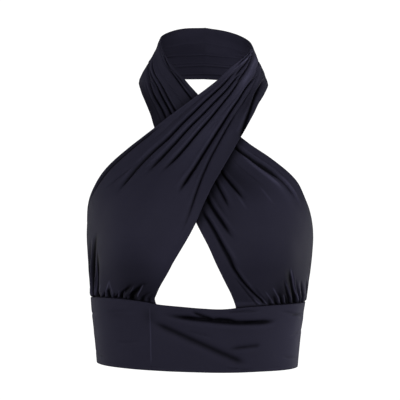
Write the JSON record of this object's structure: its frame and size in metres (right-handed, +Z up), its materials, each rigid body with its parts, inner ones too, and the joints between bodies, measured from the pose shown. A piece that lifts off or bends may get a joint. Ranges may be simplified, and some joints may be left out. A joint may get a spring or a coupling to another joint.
{
  "type": "halter neck top",
  "caption": "Sleeveless cropped top: gathered front panels cross at the breastbone, run on as a wide strap round the neck and end in a broad underbust band; open back and keyhole.",
  "frame": {"origin": "middle of the inner face of the neck strap at the nape, where the neck holds the top up", "axes": "+X to the right as seen from the front, -Y the way the wearer faces, +Z up"},
  "size_m": [0.2934, 0.2188, 0.4502],
  "materials": {
    "jersey": "smooth near-black navy jersey with a soft sheen"
  },
  "bodies": {
    "root": {"front_over": "jersey", "front_under": "jersey", "band_front": "jersey", "band_front_side": "jersey", "band_back": "jersey"}
  },
  "joints": []
}
